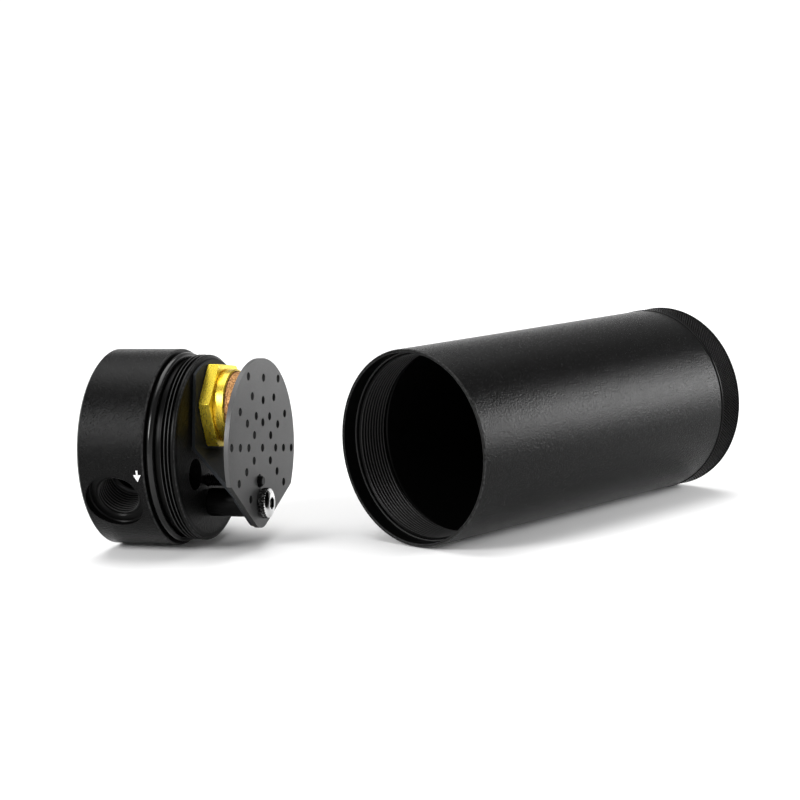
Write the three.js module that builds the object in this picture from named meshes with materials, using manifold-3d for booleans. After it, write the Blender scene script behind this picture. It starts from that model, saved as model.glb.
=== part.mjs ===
// Two-part baffled canister that cleans oil mist out of an engine's breather air, taken apart on a bench.
// Millimetres and degrees, +Z up. Each half is drawn along its own +X axis and then laid on its side.
import * as THREE from 'three';
import { mergeVertices } from 'three/addons/utils/BufferGeometryUtils.js';
import Module from 'manifold-3d';

const wasm = await Module();
wasm.setup();

// Driving dimensions
const OUTER_RADIUS = 38.1;
const GAP = 0.3;
const THREAD_PITCH = 1.5;
const SEGMENTS = 48;

const CAP_LENGTH = 27.4;
const CAP_BACK_CHAMFER = 0.9;
const CAP_FRONT_CHAMFER = 0.5;
const SEAL_GROOVE_RADIUS = 33.4;
const SEAL_GROOVE_END = 30.8;
const SPIGOT_NECK_RADIUS = 34.6;
const SPIGOT_THREAD_START = 32.6;
const SPIGOT_THREAD_TURNS = 3;
const SPIGOT_LAND_RADIUS = 35.8;
const SPIGOT_LAND_RUN = 0.4;
const SPIGOT_CHAMFER = [0.7, 1];
const SPIGOT_END = 39.2;
const SPIGOT_THREAD_RADIUS = 35.9;
const SPIGOT_CORE_RADIUS = 35.0;
const HEAD_ROLL = -9.55;
const HEAD_TURN = -63;
const HEAD_PLACE = [-56.99, 104.71];
const HEAD_SEAL = { radius: 35.25, section: 1.5, axial: 29.1 };

const CAN_LENGTH = 158.4;
const TUBE_LENGTH = 145.2;
const TUBE_RADIUS = 37.85;
const TUBE_BORE = 35.6;
const MOUTH_RECESS_RADIUS = 36.5;
const MOUTH_RECESS_DEPTH = 6.2;
const MOUTH_THREAD_RADIUS = 35.2;
const MOUTH_THREAD_START = 7;
const MOUTH_THREAD_TURNS = 10;
const THREAD_ROOT_RADIUS = TUBE_BORE + 0.2;
const EDGE_BREAK = 0.4;
const BASE_SPIGOT_RADIUS = 35.2;
const BASE_SPIGOT_START = 133.4;
const BASE_THREAD_TURNS = 5;
const BASE_THREAD_DEPTH = 0.8;
const BASE_SEAL_GROOVE_RADIUS = 33;
const BASE_SEAL_GROOVE = [3.2, 0.8];
const BASE_SEAL = { radius: 34.3, section: 0.95, behindShoulder: 2 };
const BASE_POCKET_FLOOR = 151;
const BASE_POCKET_RADII = [31, 32.2];
const BASE_FAR_EDGE = [[1.6, 0], [0.5, 0.5], [0, 1.6]];

const PORT_AXIAL = 13.1;
const PORT_ANGLES = [214, 34];
const PORT_FACE_RADIUS = 11.5;
const PORT_THREAD_RADIUS = 9.0;
const PORT_SEAT = 34.2;
const PORT_PITCH = 1.41;
const PORT_TURNS = 7;
const PORT_THREAD_DEPTH = 0.8;
const IN_PASSAGE_END = 13;
const OUT_PASSAGE_END = 3;
const PASSAGE_RADIUS = 7;
const INLET_HOLE_RADIUS = 6;
const INLET_HOLE_OFFSET = 18.5;
const BRACKET_HOLE_SPACING = 26;
const BRACKET_HOLE_RADIUS = 2.6;
const BRACKET_HOLE_DEPTH = 9;
const OUTLET_HOLE_END = 8.1;
const POST_HOLE_END = 29;
const STUD_HOLE_END = 34;

const FILTER_HEIGHT = 16.1;
const HEX_ACROSS_FLATS = 31.4;
const FILTER_STUB_RADIUS = 9.6;
const SHEET = 1.2;
const DIVERTER_BACK = SPIGOT_END + GAP;
const HEX_BACK = DIVERTER_BACK + SHEET + GAP;
const HEX_THICKNESS = 4.6;
const HEX_BACK_CHAMFER = [0.5, 0.6];
const HEX_FRONT_CHAMFER = [0.3, 0.6];
const FILTER_STUB_END = 27;
const FILTER_BORE = 6.5;
const COLLAR_LENGTH = 4;
const COLLAR_RADIUS = 14.1;
const ELEMENT_RADIUS = 13.2;
const ELEMENT_FRONT = 56.2;
const ELEMENT_WALL = 3;
const ELEMENT_EDGE = [[1.4, 0], [0.4, 0.4], [0, 1.4]];

const BAFFLE_RADIUS = 34.5;
const BAFFLE_FRONT = 60.4;
const BAFFLE_THICKNESS = 1.9;
const BAFFLE_BACK = BAFFLE_FRONT - BAFFLE_THICKNESS;
const LOBE_RADIUS = 9.7;
const LOBE_DROP = 21.2;
const BAFFLE_HOLE_RADIUS = 1.6;
const FIRST_RING = 9.77;
const RING_STEP = 4.29;
const RINGS = 6;
const FULL_RING = 4;
const POST_RADIUS = 5.5;
const POST_STUD_END = 30.5;
const POST_TAPPED_DEPTH = 11;
const SCREW_RADIUS = 2.9;
const SCREW_END = 47.6;
const STUD_RADIUS = 2.3;
const STUD_ENDS = [34.3, 62];
const STUD_PLACE = [-2.5, -12.7];
const CLEAR = 1;

const radians = THREE.MathUtils.degToRad;

const BLACK_ANODISED = { color: 0x17181a, roughness: 0.45, metalness: 0.7 };
const MACHINED_BLACK = { color: 0x202124, roughness: 0.3, metalness: 0.8 };
const RUBBER = { color: 0x0a0a0b, roughness: 0.35, metalness: 0 };
const BRASS = { color: 0xd8a92c, roughness: 0.25, metalness: 1 };
const SINTERED_BRONZE = { color: 0xa8673a, roughness: 0.85, metalness: 0.6 };
const STEEL = { color: 0xcfd0d2, roughness: 0.15, metalness: 1 };

// A closed three.js geometry as a manifold-3d solid, without the flat triangles at a lathe's poles.
function solid(geometry) {
  const bare = geometry.clone();
  bare.deleteAttribute('normal');
  bare.deleteAttribute('uv');
  const welded = mergeVertices(bare, 1e-4);
  const index = [];
  for (let i = 0; i < welded.index.count; i += 3) {
    const [a, b, c] = [0, 1, 2].map((k) => welded.index.getX(i + k));
    if (a !== b && b !== c && c !== a) index.push(a, b, c);
  }
  return new wasm.Manifold(new wasm.Mesh({
    numProp: 3,
    vertProperties: new Float32Array(welded.attributes.position.array),
    triVerts: new Uint32Array(index),
  }));
}

// A finished solid as a named mesh.
function piece(name, body, finish) {
  const mesh = body.getMesh();
  const geometry = new THREE.BufferGeometry();
  geometry.setAttribute('position', new THREE.BufferAttribute(new Float32Array(mesh.vertProperties), 3));
  geometry.setIndex(new THREE.BufferAttribute(new Uint32Array(mesh.triVerts), 1));
  geometry.computeVertexNormals();
  const result = new THREE.Mesh(geometry, new THREE.MeshStandardMaterial(finish));
  result.name = name;
  return result;
}

// A turned shape about X. The outline is [x, radius] points that start and end on the axis, going forwards.
function turned(outline, segments = SEGMENTS) {
  const points = outline.map(([x, radius]) => new THREE.Vector2(radius, x));
  return new THREE.LatheGeometry(points, segments).rotateZ(-Math.PI / 2);
}

function rod(radius, from, to, segments = 24) {
  return turned([[from, 0], [from, radius], [to, radius], [to, 0]], segments);
}

// A flat shape drawn in Y and Z, made thick along X.
function plate(shape, from, thickness, curveSegments = 12) {
  const geometry = new THREE.ExtrudeGeometry(shape, { depth: thickness, bevelEnabled: false, curveSegments });
  return geometry.rotateY(Math.PI / 2).rotateX(Math.PI / 2).translate(from, 0, 0);
}

// Ridges of a thread along X, as outline points between a crest and a root radius.
function ridges(start, turns, pitch, crest, root) {
  const points = [];
  for (let turn = 0; turn < turns; turn += 1) {
    const x = start + turn * pitch;
    points.push([x, root], [x + pitch / 2, crest]);
  }
  points.push([start + turns * pitch, root]);
  return points;
}

// Turns a tool that lies along X so that it points out of the head's side at an angle.
function aimed(geometry, angle, axial) {
  return geometry.rotateZ(Math.PI / 2).rotateX(radians(angle)).translate(axial, 0, 0);
}

// The hollow of a pipe port: passage, tapped length, and a wide flat seat cut into the round side.
function portTool(angle, innerEnd) {
  const threadStart = PORT_SEAT - PORT_TURNS * PORT_PITCH;
  const outline = [
    [innerEnd, 0],
    [innerEnd, PASSAGE_RADIUS],
    [threadStart - CLEAR, PASSAGE_RADIUS],
    ...ridges(
      threadStart, PORT_TURNS, PORT_PITCH, PORT_THREAD_RADIUS - PORT_THREAD_DEPTH, PORT_THREAD_RADIUS,
    ),
    [PORT_SEAT, PORT_FACE_RADIUS],
    [OUTER_RADIUS + CLEAR, PORT_FACE_RADIUS],
    [OUTER_RADIUS + CLEAR, 0],
  ];
  return solid(aimed(turned(outline, 24), angle, PORT_AXIAL));
}

// The head: a solid cap with two side ports, and a threaded spigot that the can screws on to.
function headBody() {
  const threadEnd = SPIGOT_THREAD_START + SPIGOT_THREAD_TURNS * THREAD_PITCH;
  const [chamferLength, chamferDepth] = SPIGOT_CHAMFER;
  const outline = [
    [0, 0],
    [0, OUTER_RADIUS - CAP_BACK_CHAMFER],
    [CAP_BACK_CHAMFER, OUTER_RADIUS],
    [CAP_LENGTH - CAP_FRONT_CHAMFER, OUTER_RADIUS],
    [CAP_LENGTH, OUTER_RADIUS - CAP_FRONT_CHAMFER],
    [CAP_LENGTH, SEAL_GROOVE_RADIUS],
    [SEAL_GROOVE_END, SEAL_GROOVE_RADIUS],
    [SEAL_GROOVE_END, SPIGOT_NECK_RADIUS],
    ...ridges(
      SPIGOT_THREAD_START, SPIGOT_THREAD_TURNS, THREAD_PITCH, SPIGOT_THREAD_RADIUS, SPIGOT_CORE_RADIUS,
    ),
    [threadEnd + SPIGOT_LAND_RUN, SPIGOT_LAND_RADIUS],
    [SPIGOT_END - chamferLength, SPIGOT_LAND_RADIUS],
    [SPIGOT_END, SPIGOT_LAND_RADIUS - chamferDepth],
    [SPIGOT_END, 0],
  ];
  let body = solid(turned(outline));
  const [inAngle, outAngle] = PORT_ANGLES;
  body = body.subtract(portTool(inAngle, IN_PASSAGE_END));
  body = body.subtract(portTool(outAngle, OUT_PASSAGE_END));

  const inlet = rod(INLET_HOLE_RADIUS, PORT_AXIAL, SPIGOT_END + CLEAR).translate(
    0,
    INLET_HOLE_OFFSET * Math.cos(radians(inAngle)),
    INLET_HOLE_OFFSET * Math.sin(radians(inAngle)),
  );
  body = body.subtract(solid(inlet));

  const outlet = rod(FILTER_STUB_RADIUS + GAP, OUTLET_HOLE_END, SPIGOT_END + CLEAR);
  body = body.subtract(solid(outlet.translate(0, 0, FILTER_HEIGHT)));
  const postHole = rod(SCREW_RADIUS + GAP, POST_HOLE_END, SPIGOT_END + CLEAR, 16);
  body = body.subtract(solid(postHole.translate(0, 0, -LOBE_DROP)));
  const studHole = rod(STUD_RADIUS + GAP, STUD_HOLE_END, SPIGOT_END + CLEAR, 16);
  body = body.subtract(solid(studHole.translate(0, ...STUD_PLACE)));

  for (const side of [-1, 1]) {
    const tapped = rod(BRACKET_HOLE_RADIUS, -CLEAR, BRACKET_HOLE_DEPTH, 16);
    body = body.subtract(solid(tapped.translate(0, side * BRACKET_HOLE_SPACING / 2, 0)));
  }
  return piece('head_body', body, BLACK_ANODISED);
}

// A rubber ring about X.
function ring(name, { radius, section }, axial) {
  const geometry = new THREE.TorusGeometry(radius, section, 10, SEGMENTS).rotateY(Math.PI / 2);
  return piece(name, solid(geometry.translate(axial, 0, 0)), RUBBER);
}

// The baffle's outline: a disc cut back by two tangents to a rounded lobe round the screw.
function baffleOutline(inset = 0) {
  const radius = BAFFLE_RADIUS - inset;
  const lobe = LOBE_RADIUS - inset;
  const slope = radians(60);
  const tangent = [lobe * Math.cos(slope), -LOBE_DROP - lobe * Math.sin(slope)];
  const run = Math.sin(slope) * tangent[0] + Math.cos(slope) * tangent[1];
  const reach = Math.sqrt(radius ** 2 - (tangent[0] ** 2 + tangent[1] ** 2 - run ** 2)) - run;
  const corner = [tangent[0] + reach * Math.sin(slope), tangent[1] + reach * Math.cos(slope)];
  const cornerAngle = Math.atan2(corner[1], corner[0]);
  const shape = new THREE.Shape();
  shape.absarc(0, 0, radius, cornerAngle, Math.PI - cornerAngle, false);
  shape.absarc(0, -LOBE_DROP, lobe, Math.PI + slope, 2 * Math.PI - slope, false);
  shape.closePath();
  return shape;
}

// The perforated front plate: six staggered rings of small holes, left out round the screw and stud.
function bafflePlate() {
  let plateSolid = solid(plate(baffleOutline(), BAFFLE_BACK, BAFFLE_THICKNESS, 20));
  const drill = (y, z, radius, segments) => {
    const hole = rod(radius, BAFFLE_BACK - CLEAR, BAFFLE_FRONT + CLEAR, segments).translate(0, y, z);
    plateSolid = plateSolid.subtract(solid(hole));
  };
  drill(0, 0, BAFFLE_HOLE_RADIUS, 10);
  for (let count = 1; count <= RINGS; count += 1) {
    const odd = count % 2 === 1;
    const radius = FIRST_RING + RING_STEP * (count - 1);
    for (let step = 0; step < 6; step += 1) {
      const angle = step * 60 + (odd ? 30 : 0);
      const below = odd ? angle === 270 : angle === 240 || angle === 300;
      if (below && count !== FULL_RING) continue;
      const turn = radians(angle);
      drill(radius * Math.cos(turn), radius * Math.sin(turn), BAFFLE_HOLE_RADIUS, 10);
    }
  }
  drill(0, -LOBE_DROP, SCREW_RADIUS + GAP, 20);
  drill(...STUD_PLACE, STUD_RADIUS + GAP, 16);
  return piece('baffle_plate', plateSolid, MACHINED_BLACK);
}

// The diverter: a folded sheet clamped under the filter's hexagon, sloping out to the baffle's screw.
function airDiverter() {
  const halfWidth = 19.8;
  const foldHeight = -0.7;
  const slopeEnd = -19.4;
  const foldRise = 0.5;
  const tabRise = 0.9;
  const margin = 0.6;
  const beyond = 40;
  const tabBack = BAFFLE_BACK - GAP - SHEET;
  const edge = new THREE.Shape([
    [DIVERTER_BACK, beyond],
    [DIVERTER_BACK, foldHeight],
    [tabBack, slopeEnd],
    [tabBack, -beyond],
    [tabBack + SHEET, -beyond],
    [tabBack + SHEET, slopeEnd + tabRise],
    [DIVERTER_BACK + SHEET, foldHeight + foldRise],
    [DIVERTER_BACK + SHEET, beyond],
  ].map(([x, z]) => new THREE.Vector2(x, z)));
  const strip = new THREE.ExtrudeGeometry(edge, { depth: 2 * halfWidth, bevelEnabled: false });
  let sheet = solid(strip.rotateX(Math.PI / 2).translate(0, halfWidth, 0));
  const reach = BAFFLE_FRONT - DIVERTER_BACK;
  sheet = sheet.intersect(solid(plate(baffleOutline(margin), DIVERTER_BACK - CLEAR, reach, 16)));
  const hole = (y, z, radius, from, to) => {
    sheet = sheet.subtract(solid(rod(radius, from, to).translate(0, y, z)));
  };
  hole(0, FILTER_HEIGHT, FILTER_STUB_RADIUS + GAP, DIVERTER_BACK - CLEAR, DIVERTER_BACK + SHEET + CLEAR);
  hole(0, -LOBE_DROP, POST_RADIUS + GAP, DIVERTER_BACK, tabBack);
  hole(0, -LOBE_DROP, SCREW_RADIUS + GAP, DIVERTER_BACK, BAFFLE_FRONT);
  hole(...STUD_PLACE, STUD_RADIUS + GAP, DIVERTER_BACK, BAFFLE_FRONT);
  return piece('air_diverter', sheet, MACHINED_BLACK);
}

// The post that carries the baffle, with its own stud in the head and a tapped front end.
function bafflePost() {
  const front = BAFFLE_BACK - GAP - SHEET - GAP;
  const outline = [
    [POST_STUD_END, 0],
    [POST_STUD_END, SCREW_RADIUS],
    [SPIGOT_END + GAP, SCREW_RADIUS],
    [SPIGOT_END + GAP, POST_RADIUS],
    [front, POST_RADIUS],
    [front, SCREW_RADIUS + GAP],
    [front - POST_TAPPED_DEPTH, SCREW_RADIUS + GAP],
    [front - POST_TAPPED_DEPTH, 0],
  ];
  return piece('baffle_post', solid(turned(outline, 24).translate(0, 0, -LOBE_DROP)), BLACK_ANODISED);
}

// The plain stud that stops the baffle turning on its one screw.
function locatingStud() {
  const stud = rod(STUD_RADIUS, ...STUD_ENDS, 16).translate(0, ...STUD_PLACE);
  return piece('locating_stud', solid(stud), BLACK_ANODISED);
}

// Socket-head screw with a domed polished face.
function baffleScrew() {
  const headBack = BAFFLE_FRONT + GAP;
  const headRim = 63.5;
  const headRadius = 5.9;
  const domeHeight = 1.1;
  const dome = [[0.6, 0.8], [1, 0.45]];
  const outline = [
    [SCREW_END, 0],
    [SCREW_END, SCREW_RADIUS],
    [headBack, SCREW_RADIUS],
    [headBack, headRadius],
    [headRim, headRadius],
    ...dome.map(([rise, share]) => [headRim + domeHeight * rise, headRadius * share]),
    [headRim + domeHeight, 0],
  ];
  const socketRadius = 3;
  const socketDepth = 2.5;
  const socket = rod(socketRadius, headRim + domeHeight - socketDepth, headRim + domeHeight + CLEAR, 6);
  const body = solid(turned(outline, 24)).subtract(solid(socket)).translate([0, 0, -LOBE_DROP]);
  return piece('baffle_screw', body, STEEL);
}

// Brass body of the breather filter: threaded stub, hexagon and the collar that holds the element.
function filterBody() {
  const cornerRadius = HEX_ACROSS_FLATS / 2 / Math.cos(radians(30));
  const hexFront = HEX_BACK + HEX_THICKNESS;
  const collarFront = hexFront + COLLAR_LENGTH;
  const roundRadius = cornerRadius + 0.1;
  const [backRun, backDepth] = HEX_BACK_CHAMFER;
  const [frontRun, frontDepth] = HEX_FRONT_CHAMFER;
  const chamfered = turned([
    [HEX_BACK, 0],
    [HEX_BACK, cornerRadius - backDepth],
    [HEX_BACK + backRun, roundRadius],
    [hexFront - frontRun, roundRadius],
    [hexFront, cornerRadius - frontDepth],
    [hexFront, 0],
  ]);
  const hexagon = rod(cornerRadius, HEX_BACK, hexFront, 6).rotateX(Math.PI / 2);
  const turnedPart = turned([
    [FILTER_STUB_END, 0],
    [FILTER_STUB_END, FILTER_STUB_RADIUS],
    [HEX_BACK + CLEAR, FILTER_STUB_RADIUS],
    [HEX_BACK + CLEAR, COLLAR_RADIUS],
    [collarFront - EDGE_BREAK, COLLAR_RADIUS],
    [collarFront, COLLAR_RADIUS - EDGE_BREAK],
    [collarFront, 0],
  ], 36);
  const bore = turned([
    [FILTER_STUB_END - CLEAR, 0],
    [FILTER_STUB_END - CLEAR, FILTER_BORE],
    [hexFront, FILTER_BORE],
    [hexFront, ELEMENT_RADIUS + GAP],
    [collarFront + CLEAR, ELEMENT_RADIUS + GAP],
    [collarFront + CLEAR, 0],
  ], 36);
  const body = solid(chamfered).intersect(solid(hexagon)).add(solid(turnedPart)).subtract(solid(bore));
  return piece('filter_body', body.translate([0, 0, FILTER_HEIGHT]), BRASS);
}

// Sintered bronze cup that the breather air leaves through.
function filterElement() {
  const back = HEX_BACK + HEX_THICKNESS + GAP;
  const outline = [
    [ELEMENT_FRONT - ELEMENT_WALL, 0],
    [ELEMENT_FRONT - ELEMENT_WALL, ELEMENT_RADIUS - ELEMENT_WALL],
    [back, ELEMENT_RADIUS - ELEMENT_WALL],
    [back, ELEMENT_RADIUS],
    ...ELEMENT_EDGE.map(([behind, below]) => [ELEMENT_FRONT - behind, ELEMENT_RADIUS - below]),
    [ELEMENT_FRONT, 0],
  ];
  return piece('filter_element', solid(turned(outline, 36).translate(0, 0, FILTER_HEIGHT)), SINTERED_BRONZE);
}

// The can's tube: a seal recess and internal thread at the mouth, and a plain bore for the base.
function canTube() {
  const inside = [
    [TUBE_LENGTH, TUBE_BORE],
    ...ridges(
      MOUTH_THREAD_START, MOUTH_THREAD_TURNS, THREAD_PITCH, MOUTH_THREAD_RADIUS, THREAD_ROOT_RADIUS,
    ).reverse(),
    [MOUTH_RECESS_DEPTH, MOUTH_THREAD_RADIUS + 0.2],
    [MOUTH_RECESS_DEPTH, MOUTH_RECESS_RADIUS],
    [EDGE_BREAK, MOUTH_RECESS_RADIUS],
  ];
  const outline = [
    [0, MOUTH_RECESS_RADIUS + 0.3],
    [0, TUBE_RADIUS - EDGE_BREAK],
    [EDGE_BREAK, TUBE_RADIUS],
    [TUBE_LENGTH, TUBE_RADIUS],
    ...inside,
    [0, MOUTH_RECESS_RADIUS + 0.3],
  ];
  return piece('can_tube', solid(turned(outline)), BLACK_ANODISED);
}

// The knurled base: its grooved spigot screws into the tube and its grip is a little proud of it.
function baseCap() {
  const shoulder = TUBE_LENGTH + GAP;
  const [grooveBack, grooveFront] = BASE_SEAL_GROOVE.map((behind) => shoulder - behind);
  const [floorRadius, rimRadius] = BASE_POCKET_RADII;
  const rootRadius = BASE_SPIGOT_RADIUS - BASE_THREAD_DEPTH;
  const outline = [
    [BASE_POCKET_FLOOR, 0],
    [BASE_POCKET_FLOOR, floorRadius],
    [BASE_SPIGOT_START, rimRadius],
    [BASE_SPIGOT_START, BASE_SPIGOT_RADIUS - 0.6],
    ...ridges(BASE_SPIGOT_START + 0.5, BASE_THREAD_TURNS, THREAD_PITCH, BASE_SPIGOT_RADIUS, rootRadius),
    [grooveBack, BASE_SPIGOT_RADIUS],
    [grooveBack, BASE_SEAL_GROOVE_RADIUS],
    [grooveFront, BASE_SEAL_GROOVE_RADIUS],
    [grooveFront, BASE_SPIGOT_RADIUS],
    [shoulder, BASE_SPIGOT_RADIUS],
    [shoulder, OUTER_RADIUS - EDGE_BREAK],
    [shoulder + EDGE_BREAK, OUTER_RADIUS],
    ...BASE_FAR_EDGE.map(([behind, below]) => [CAN_LENGTH - behind, OUTER_RADIUS - below]),
    [CAN_LENGTH, 0],
  ];
  return piece('base_cap', solid(turned(outline)), BLACK_ANODISED);
}

const head = new THREE.Group();
head.add(
  headBody(),
  ring('head_oring', HEAD_SEAL, HEAD_SEAL.axial),
  airDiverter(),
  bafflePost(),
  locatingStud(),
  bafflePlate(),
  baffleScrew(),
  filterBody(),
  filterElement(),
);
head.rotation.x = radians(HEAD_ROLL);

const headLaid = new THREE.Group();
headLaid.add(head);
headLaid.rotation.z = radians(HEAD_TURN);
headLaid.position.set(HEAD_PLACE[0], HEAD_PLACE[1], OUTER_RADIUS);

const can = new THREE.Group();
const baseSealAxial = TUBE_LENGTH + GAP - BASE_SEAL.behindShoulder;
can.add(canTube(), baseCap(), ring('base_oring', BASE_SEAL, baseSealAxial));
can.position.z = OUTER_RADIUS;

// The origin is the middle of the floor under the whole object.
const canister = new THREE.Group();
canister.add(headLaid, can);
canister.updateMatrixWorld(true);
const middle = new THREE.Box3().setFromObject(canister, true).getCenter(new THREE.Vector3());
headLaid.position.x -= middle.x;
headLaid.position.y -= middle.y;
can.position.x -= middle.x;
can.position.y -= middle.y;

export default canister;
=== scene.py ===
import math

import bmesh
import bpy
from mathutils import Matrix, Vector, noise


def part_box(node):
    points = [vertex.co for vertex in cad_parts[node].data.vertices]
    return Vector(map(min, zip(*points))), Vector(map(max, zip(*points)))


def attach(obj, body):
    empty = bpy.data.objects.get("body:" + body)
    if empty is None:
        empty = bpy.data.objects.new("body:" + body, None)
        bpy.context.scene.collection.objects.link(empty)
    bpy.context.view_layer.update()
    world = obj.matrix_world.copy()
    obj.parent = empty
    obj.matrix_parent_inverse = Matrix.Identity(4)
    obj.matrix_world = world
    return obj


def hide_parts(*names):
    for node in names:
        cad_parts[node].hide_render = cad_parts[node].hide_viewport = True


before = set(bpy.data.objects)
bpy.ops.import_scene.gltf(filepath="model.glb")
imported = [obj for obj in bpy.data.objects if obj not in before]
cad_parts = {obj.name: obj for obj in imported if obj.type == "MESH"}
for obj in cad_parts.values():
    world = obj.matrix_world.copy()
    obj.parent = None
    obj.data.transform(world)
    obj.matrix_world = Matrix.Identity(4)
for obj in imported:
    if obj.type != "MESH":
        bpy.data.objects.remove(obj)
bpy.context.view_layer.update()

# The bench and its lights. Both halves lie on a plain white bench that runs back into a bright wall, under a
# dim ceiling. One soft box stands to the right and lights the can's side, one stands to the left, and one
# hangs overhead.

FLOOR_SIZE = 30.0
WALL_GLOW = 1.1
CEILING_GLOW = 0.28
WALL_TOP = 0.13
CEILING_START = 0.42
FAR_GLOW = 0.85
NEAR_FLOOR = 0.5
FAR_FLOOR = 1.3
SOFT_BOXES = [
    ("right_soft_box", (0.646, -0.477, 0.215), (0.092, -0.08, 0.05), (0.3, 0.3), 6.8),
    ("left_soft_box", (-0.84, 0.05, 0.46), (-0.12, 0.03, 0.05), (0.34, 0.34), 6.5),
    ("overhead_soft_box", (0.2, 0.3, 1.6), (0.0, 0.0, 0.0), (1.6, 1.6), 28.0),
]


class Signal:
    """One output of a material's nodes. Sums of signals add their own Math nodes."""

    def __init__(self, tree, socket=None):
        self.tree = tree
        self.socket = socket

    def node(self, kind, settings=None, sockets=None, output=0):
        """Adds a node: its settings first, then the values and links of its sockets."""
        made = self.tree.nodes.new(kind)
        for name, value in (settings or {}).items():
            setattr(made, name, value)
        for name, value in (sockets or {}).items():
            if isinstance(value, Signal):
                self.tree.links.new(value.socket, made.inputs[name])
            else:
                made.inputs[name].default_value = value
        return Signal(self.tree, made.outputs[output] if made.outputs else None)

    def maths(self, operation, *terms, **settings):
        settings["operation"] = operation
        return self.node("ShaderNodeMath", settings, dict(enumerate(terms)))

    def __add__(self, other):
        return self.maths("ADD", self, other)

    __radd__ = __add__

    def __sub__(self, other):
        return self.maths("SUBTRACT", self, other)

    def __rsub__(self, other):
        return self.maths("SUBTRACT", other, self)

    def __mul__(self, other):
        return self.maths("MULTIPLY", self, other)

    __rmul__ = __mul__

    def __truediv__(self, other):
        return self.maths("DIVIDE", self, other)

    def __gt__(self, other):
        return self.maths("GREATER_THAN", self, other)

    def __lt__(self, other):
        return self.maths("LESS_THAN", self, other)

    def kept(self):
        """The signal held between 0 and 1."""
        return self.maths("ADD", self, 0.0, use_clamp=True)

    def mix(self, low, high):
        """A colour between two others; this signal is the share of the second."""
        return self.node("ShaderNodeMix", {"data_type": "RGBA"}, {0: self, 6: low, 7: high}, output=2)


def grey(value, warmth=0.0):
    return (value * (1 + warmth), value, value * (1 - warmth), 1.0)


def new_finish(name):
    finish = bpy.data.materials.new(name)
    finish.use_nodes = True
    finish.node_tree.nodes.clear()
    return finish, Signal(finish.node_tree)


def surface(start, sockets):
    shader = start.node("ShaderNodeBsdfPrincipled", {}, sockets)
    start.node("ShaderNodeOutputMaterial", {}, {"Surface": shader})


def grain(place, scale, detail=2.0, rough=0.5):
    """Cloudy noise from 0 to 1 on a place signal."""
    return place.node(
        "ShaderNodeTexNoise", {}, {"Vector": place, "Scale": scale, "Detail": detail, "Roughness": rough}
    )


def white_bench():
    finish, start = new_finish("white_bench")
    place = start.node("ShaderNodeTexCoord", output=3)
    mottle = grain(place, 3.0)
    away = place.node("ShaderNodeVectorMath", {"operation": "LENGTH"}, {0: place}, output=1)
    far = ((away - NEAR_FLOOR) / (FAR_FLOOR - NEAR_FLOOR)).kept()
    surface(start, {
        "Base Color": mottle.mix(grey(0.9), grey(0.92)),
        "Emission Color": far.mix(grey(0.0), grey(FAR_GLOW)),
        "Emission Strength": 1.0,
        "Roughness": 0.9,
        "Specular IOR Level": 0.1,
    })
    return finish


bench_shape = bmesh.new()
bmesh.ops.create_grid(bench_shape, x_segments=1, y_segments=1, size=FLOOR_SIZE / 2)
bench_mesh = bpy.data.meshes.new("bench")
bench_shape.to_mesh(bench_mesh)
bench_mesh.materials.append(white_bench())
bench = bpy.data.objects.new("bench", bench_mesh)
bpy.context.scene.collection.objects.link(bench)


def bright_wall():
    """A world that is bright near the horizon and dims towards the ceiling."""
    room = bpy.data.worlds.new("room")
    room.use_nodes = True
    room.node_tree.nodes.clear()
    start = Signal(room.node_tree)
    direction = start.node("ShaderNodeTexCoord", output=0)
    height = start.node("ShaderNodeSeparateXYZ", {}, {0: direction}, output=2)
    above = ((height - WALL_TOP) / (CEILING_START - WALL_TOP)).kept()
    glow = above.mix(grey(WALL_GLOW), grey(CEILING_GLOW))
    light = start.node("ShaderNodeBackground", {}, {"Color": glow, "Strength": 1.0})
    start.node("ShaderNodeOutputWorld", {}, {"Surface": light})
    return room


bpy.context.scene.world = bright_wall()
bpy.context.scene.view_settings.view_transform = "Standard"

for box_name, stand, target, size, power in SOFT_BOXES:
    lamp = bpy.data.lights.new(box_name, "AREA")
    lamp.shape = "RECTANGLE"
    lamp.size, lamp.size_y = size
    lamp.energy = power
    holder = bpy.data.objects.new(box_name, lamp)
    facing = (Vector(target) - Vector(stand)).to_track_quat("-Z", "Y")
    holder.matrix_world = Matrix.Translation(stand) @ facing.to_matrix().to_4x4()
    bpy.context.scene.collection.objects.link(holder)

# The camera stands a hand's width above the halves' tops and looks slightly down between them through a long
# lens. It is rolled by about two degrees.

CAMERA_PLACE = (-0.5922506, -0.5924252, 0.17049)
CAMERA_LENS = 94.83
CAMERA_TURN = math.radians(-45.14)
CAMERA_TILT = math.radians(81.75)
CAMERA_ROLL = -0.0379

camera_data = bpy.data.cameras.new("camera")
camera_data.lens = CAMERA_LENS
camera_data.sensor_width = 36
camera = bpy.data.objects.new("camera", camera_data)
camera.matrix_world = (
    Matrix.Translation(CAMERA_PLACE)
    @ Matrix.Rotation(CAMERA_TURN, 4, "Z")
    @ Matrix.Rotation(CAMERA_TILT, 4, "X")
    @ Matrix.Rotation(CAMERA_ROLL, 4, "Z")
)
bpy.context.scene.collection.objects.link(camera)
bpy.context.scene.camera = camera

# The head's body: one turned billet of aluminium with a thick cap, a seal groove and a short threaded spigot.
# Two side ports are tapped for hose fittings, and the spigot's end is drilled for what it carries. It is
# bead-blasted and anodised black; the cap's shoulder and the spigot's side keep the lathe's finer lines.

MM = 0.001
STEPS = 192
HEAD_TURN = math.radians(-63)
HEAD_ROLL = math.radians(-9.55)
SEAL_AXIAL = 29.1

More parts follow.
